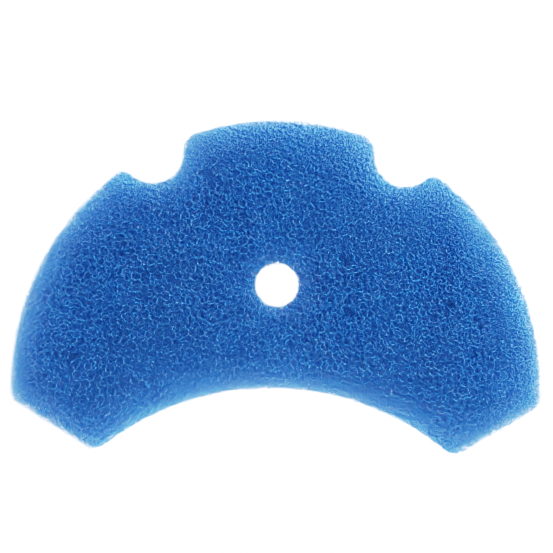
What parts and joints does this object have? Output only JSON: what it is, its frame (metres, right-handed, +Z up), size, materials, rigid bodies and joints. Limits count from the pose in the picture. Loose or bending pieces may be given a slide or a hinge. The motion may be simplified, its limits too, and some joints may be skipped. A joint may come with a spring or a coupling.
{
  "type": "sponge filter",
  "caption": "Flat crescent-shaped filter pad of coarse open-cell foam with a round through hole, half-round rim notches and a concave edge.",
  "frame": {"origin": "on the axis of the round hole, at the pad's underside", "axes": "+X along the pad's length, +Y from the concave edge towards the crown of the rim, +Z up through the thickness"},
  "size_m": [0.3, 0.1871, 0.03],
  "materials": {
    "blue_foam": "matte"
  },
  "bodies": {
    "root": {"foam_pad": "blue_foam"}
  },
  "joints": []
}
